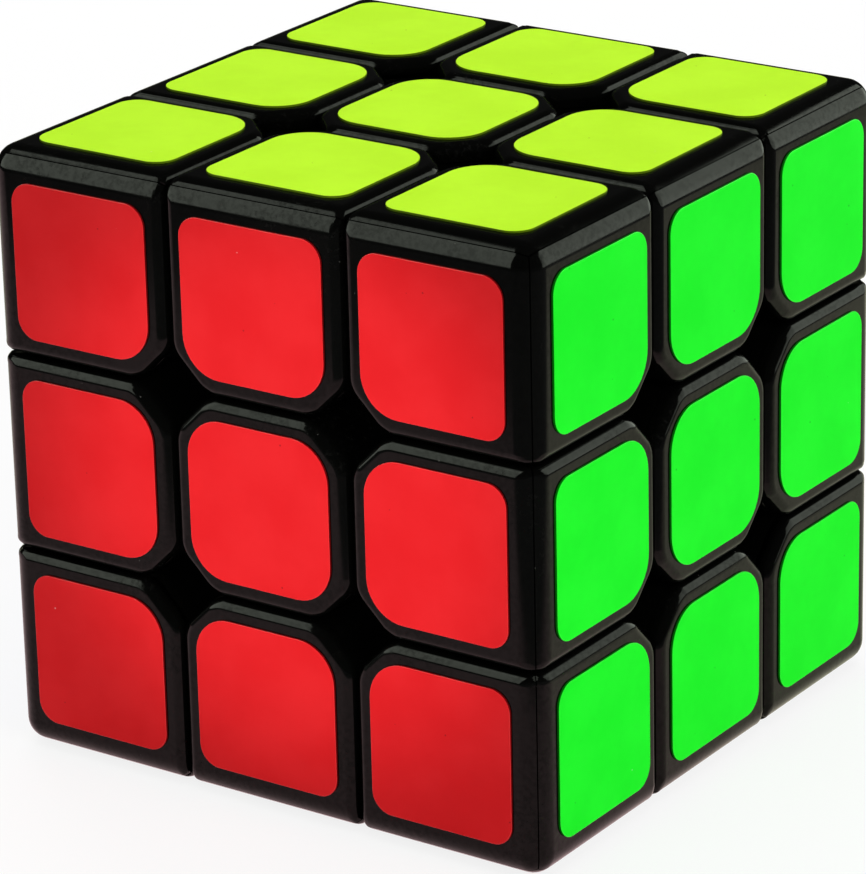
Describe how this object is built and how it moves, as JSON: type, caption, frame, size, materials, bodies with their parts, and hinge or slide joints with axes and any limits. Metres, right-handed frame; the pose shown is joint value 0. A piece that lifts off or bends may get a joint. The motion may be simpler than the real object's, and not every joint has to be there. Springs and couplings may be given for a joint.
{
  "type": "twisty puzzle cube",
  "caption": "Twisty puzzle cube: black plastic pieces with coloured vinyl stickers interlock on a sprung core, and each face turns freely about its own axle.",
  "frame": {"origin": "centre of the core, where the six axles meet", "axes": "+Z out of the up face, -Y out of the front face, +X out of the right face"},
  "size_m": [0.0574, 0.0574, 0.0574],
  "materials": {
    "black_plastic": "moulded black plastic, satin gloss",
    "core_plastic": "bare moulded plastic",
    "zinc_steel": "zinc-plated steel",
    "spring_steel": "drawn spring wire",
    "sticker_lime": "vinyl film",
    "sticker_white": "vinyl film",
    "sticker_red": "vinyl film",
    "sticker_orange": "vinyl film",
    "sticker_green": "vinyl film",
    "sticker_blue": "vinyl film"
  },
  "bodies": {
    "core": {"core": "core_plastic", "axle_screws": "zinc_steel", "springs": "spring_steel", "washers": "zinc_steel"},
    "corner_down_front_left": {"corner_down_front_left": "black_plastic", "stickers_corner_down_front_left": "sticker_white"},
    "edge_down_front": {"edge_down_front": "black_plastic", "stickers_edge_down_front": "sticker_white"},
    "corner_down_front_right": {"corner_down_front_right": "black_plastic", "stickers_corner_down_front_right": "sticker_white"},
    "edge_down_left": {"edge_down_left": "black_plastic", "stickers_edge_down_left": "sticker_white"},
    "centre_down": {"centre_down": "black_plastic", "sticker_centre_down": "sticker_white"},
    "edge_down_right": {"edge_down_right": "black_plastic", "stickers_edge_down_right": "sticker_white"},
    "corner_down_back_left": {"corner_down_back_left": "black_plastic", "stickers_corner_down_back_left": "sticker_white"},
    "edge_down_back": {"edge_down_back": "black_plastic", "stickers_edge_down_back": "sticker_white"},
    "corner_down_back_right": {"corner_down_back_right": "black_plastic", "stickers_corner_down_back_right": "sticker_white"},
    "edge_front_left": {"edge_front_left": "black_plastic", "stickers_edge_front_left": "sticker_red"},
    "centre_front": {"centre_front": "black_plastic", "sticker_centre_front": "sticker_red"},
    "edge_front_right": {"edge_front_right": "black_plastic", "stickers_edge_front_right": "sticker_red"},
    "centre_left": {"centre_left": "black_plastic", "sticker_centre_left": "sticker_blue"},
    "centre_right": {"centre_right": "black_plastic", "sticker_centre_right": "sticker_green"},
    "edge_back_left": {"edge_back_left": "black_plastic", "stickers_edge_back_left": "sticker_orange"},
    "centre_back": {"centre_back": "black_plastic", "sticker_centre_back": "sticker_orange"},
    "edge_back_right": {"edge_back_right": "black_plastic", "stickers_edge_back_right": "sticker_orange"},
    "corner_up_front_left": {"corner_up_front_left": "black_plastic", "stickers_corner_up_front_left": "sticker_lime"},
    "edge_up_front": {"edge_up_front": "black_plastic", "stickers_edge_up_front": "sticker_lime"},
    "corner_up_front_right": {"corner_up_front_right": "black_plastic", "stickers_corner_up_front_right": "sticker_lime"},
    "edge_up_left": {"edge_up_left": "black_plastic", "stickers_edge_up_left": "sticker_lime"},
    "centre_up": {"centre_up": "black_plastic", "sticker_centre_up": "sticker_lime"},
    "edge_up_right": {"edge_up_right": "black_plastic", "stickers_edge_up_right": "sticker_lime"},
    "corner_up_back_left": {"corner_up_back_left": "black_plastic", "stickers_corner_up_back_left": "sticker_lime"},
    "edge_up_back": {"edge_up_back": "black_plastic", "stickers_edge_up_back": "sticker_lime"},
    "corner_up_back_right": {"corner_up_back_right": "black_plastic", "stickers_corner_up_back_right": "sticker_lime"}
  },
  "joints": [
    {"name": "up_turn", "type": "hinge", "parent": "core", "child": "centre_up", "pos_m": [0, 0, 0], "axis": [0, 0, 1], "continuous": true},
    {"name": "down_turn", "type": "hinge", "parent": "core", "child": "centre_down", "pos_m": [0, 0, 0], "axis": [0, 0, 1], "continuous": true},
    {"name": "back_turn", "type": "hinge", "parent": "core", "child": "centre_back", "pos_m": [0, 0, 0], "axis": [0, 1, 0], "continuous": true},
    {"name": "front_turn", "type": "hinge", "parent": "core", "child": "centre_front", "pos_m": [0, 0, 0], "axis": [0, 1, 0], "continuous": true},
    {"name": "right_turn", "type": "hinge", "parent": "core", "child": "centre_right", "pos_m": [0, 0, 0], "axis": [1, 0, 0], "continuous": true},
    {"name": "left_turn", "type": "hinge", "parent": "core", "child": "centre_left", "pos_m": [0, 0, 0], "axis": [1, 0, 0], "continuous": true},
    {"name": "corner_down_front_left_with_left", "type": "hinge", "parent": "edge_down_front", "child": "corner_down_front_left", "pos_m": [0, 0, 0], "axis": [1, 0, 0], "continuous": true},
    {"name": "edge_down_front_with_front", "type": "hinge", "parent": "centre_down", "child": "edge_down_front", "pos_m": [0, 0, 0], "axis": [0, 1, 0], "continuous": true},
    {"name": "corner_down_front_right_with_right", "type": "hinge", "parent": "edge_down_front", "child": "corner_down_front_right", "pos_m": [0, 0, 0], "axis": [1, 0, 0], "continuous": true},
    {"name": "edge_down_left_with_down", "type": "hinge", "parent": "centre_left", "child": "edge_down_left", "pos_m": [0, 0, 0], "axis": [0, 0, 1], "continuous": true},
    {"name": "edge_down_right_with_down", "type": "hinge", "parent": "centre_right", "child": "edge_down_right", "pos_m": [0, 0, 0], "axis": [0, 0, 1], "continuous": true},
    {"name": "corner_down_back_left_with_left", "type": "hinge", "parent": "edge_down_back", "child": "corner_down_back_left", "pos_m": [0, 0, 0], "axis": [1, 0, 0], "continuous": true},
    {"name": "edge_down_back_with_back", "type": "hinge", "parent": "centre_down", "child": "edge_down_back", "pos_m": [0, 0, 0], "axis": [0, 1, 0], "continuous": true},
    {"name": "corner_down_back_right_with_right", "type": "hinge", "parent": "edge_down_back", "child": "corner_down_back_right", "pos_m": [0, 0, 0], "axis": [1, 0, 0], "continuous": true},
    {"name": "edge_front_left_with_left", "type": "hinge", "parent": "centre_front", "child": "edge_front_left", "pos_m": [0, 0, 0], "axis": [1, 0, 0], "continuous": true},
    {"name": "edge_front_right_with_right", "type": "hinge", "parent": "centre_front", "child": "edge_front_right", "pos_m": [0, 0, 0], "axis": [1, 0, 0], "continuous": true},
    {"name": "edge_back_left_with_left", "type": "hinge", "parent": "centre_back", "child": "edge_back_left", "pos_m": [0, 0, 0], "axis": [1, 0, 0], "continuous": true},
    {"name": "edge_back_right_with_right", "type": "hinge", "parent": "centre_back", "child": "edge_back_right", "pos_m": [0, 0, 0], "axis": [1, 0, 0], "continuous": true},
    {"name": "corner_up_front_left_with_left", "type": "hinge", "parent": "edge_up_front", "child": "corner_up_front_left", "pos_m": [0, 0, 0], "axis": [1, 0, 0], "continuous": true},
    {"name": "edge_up_front_with_front", "type": "hinge", "parent": "centre_up", "child": "edge_up_front", "pos_m": [0, 0, 0], "axis": [0, 1, 0], "continuous": true},
    {"name": "corner_up_front_right_with_right", "type": "hinge", "parent": "edge_up_front", "child": "corner_up_front_right", "pos_m": [0, 0, 0], "axis": [1, 0, 0], "continuous": true},
    {"name": "edge_up_left_with_up", "type": "hinge", "parent": "centre_left", "child": "edge_up_left", "pos_m": [0, 0, 0], "axis": [0, 0, 1], "continuous": true},
    {"name": "edge_up_right_with_up", "type": "hinge", "parent": "centre_right", "child": "edge_up_right", "pos_m": [0, 0, 0], "axis": [0, 0, 1], "continuous": true},
    {"name": "corner_up_back_left_with_left", "type": "hinge", "parent": "edge_up_back", "child": "corner_up_back_left", "pos_m": [0, 0, 0], "axis": [1, 0, 0], "continuous": true},
    {"name": "edge_up_back_with_back", "type": "hinge", "parent": "centre_up", "child": "edge_up_back", "pos_m": [0, 0, 0], "axis": [0, 1, 0], "continuous": true},
    {"name": "corner_up_back_right_with_right", "type": "hinge", "parent": "edge_up_back", "child": "corner_up_back_right", "pos_m": [0, 0, 0], "axis": [1, 0, 0], "continuous": true}
  ],
  "couplings": [
    {"joint": "corner_down_front_left_with_left", "follows": "left_turn", "ratio": 1},
    {"joint": "edge_down_front_with_front", "follows": "front_turn", "ratio": 1},
    {"joint": "corner_down_front_right_with_right", "follows": "right_turn", "ratio": 1},
    {"joint": "edge_down_left_with_down", "follows": "down_turn", "ratio": 1},
    {"joint": "edge_down_right_with_down", "follows": "down_turn", "ratio": 1},
    {"joint": "corner_down_back_left_with_left", "follows": "left_turn", "ratio": 1},
    {"joint": "edge_down_back_with_back", "follows": "back_turn", "ratio": 1},
    {"joint": "corner_down_back_right_with_right", "follows": "right_turn", "ratio": 1},
    {"joint": "edge_front_left_with_left", "follows": "left_turn", "ratio": 1},
    {"joint": "edge_front_right_with_right", "follows": "right_turn", "ratio": 1},
    {"joint": "edge_back_left_with_left", "follows": "left_turn", "ratio": 1},
    {"joint": "edge_back_right_with_right", "follows": "right_turn", "ratio": 1},
    {"joint": "corner_up_front_left_with_left", "follows": "left_turn", "ratio": 1},
    {"joint": "edge_up_front_with_front", "follows": "front_turn", "ratio": 1},
    {"joint": "corner_up_front_right_with_right", "follows": "right_turn", "ratio": 1},
    {"joint": "edge_up_left_with_up", "follows": "up_turn", "ratio": 1},
    {"joint": "edge_up_right_with_up", "follows": "up_turn", "ratio": 1},
    {"joint": "corner_up_back_left_with_left", "follows": "left_turn", "ratio": 1},
    {"joint": "edge_up_back_with_back", "follows": "back_turn", "ratio": 1},
    {"joint": "corner_up_back_right_with_right", "follows": "right_turn", "ratio": 1}
  ]
}
